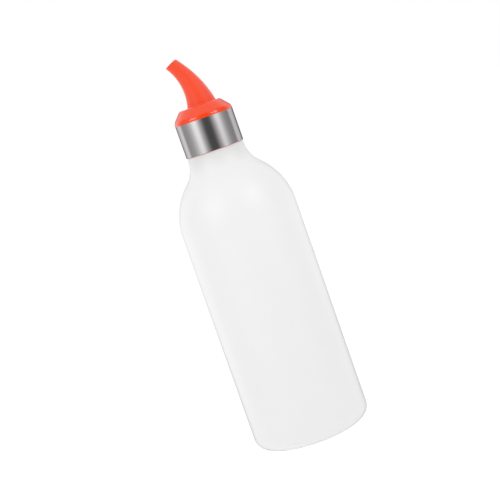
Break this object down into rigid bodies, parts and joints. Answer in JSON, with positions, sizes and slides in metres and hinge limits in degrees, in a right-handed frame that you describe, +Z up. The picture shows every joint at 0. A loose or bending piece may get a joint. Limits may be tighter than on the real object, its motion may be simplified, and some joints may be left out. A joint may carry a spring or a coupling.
{
  "type": "condiment squeeze bottle",
  "caption": "Soft round squeeze bottle with a sloping shoulder, a screw cap in a steel collar and a bent pouring spout.",
  "frame": {"origin": "centre of the foot, on the surface that the bottle stands on", "axes": "+Z up along the bottle's axis; the spout leans towards -X"},
  "size_m": [0.065, 0.065, 0.215],
  "materials": {
    "milky_polyethylene": "semi-matt, milky natural polyethylene",
    "red_gloss": "glossy red polypropylene",
    "red_spout": "satin red, slightly soft",
    "brushed_collar": "stainless, finely brushed round the sleeve",
    "clear_silicone": "matt, milky silicone"
  },
  "bodies": {
    "bottle": {"bottle": "milky_polyethylene"},
    "seal": {"sealing_washer": "clear_silicone"},
    "cap": {"screw_cap": "red_gloss", "steel_collar": "brushed_collar"},
    "spout": {"spout": "red_spout"}
  },
  "joints": [
    {"name": "cap_rise", "type": "slide", "parent": "bottle", "child": "seal", "axis": [0, 0, 1], "range_m": [0, 0.02]},
    {"name": "cap_turn", "type": "hinge", "parent": "seal", "child": "cap", "pos_m": [0, 0, 0.172], "axis": [0, 0, 1], "range_deg": [0, 1800]},
    {"name": "spout_swivel", "type": "hinge", "parent": "cap", "child": "spout", "pos_m": [0, 0, 0.186], "axis": [0, 0, 1], "continuous": true}
  ],
  "couplings": [
    {"joint": "cap_rise", "follows": "cap_turn", "m_per_rad": 0.0006366}
  ]
}
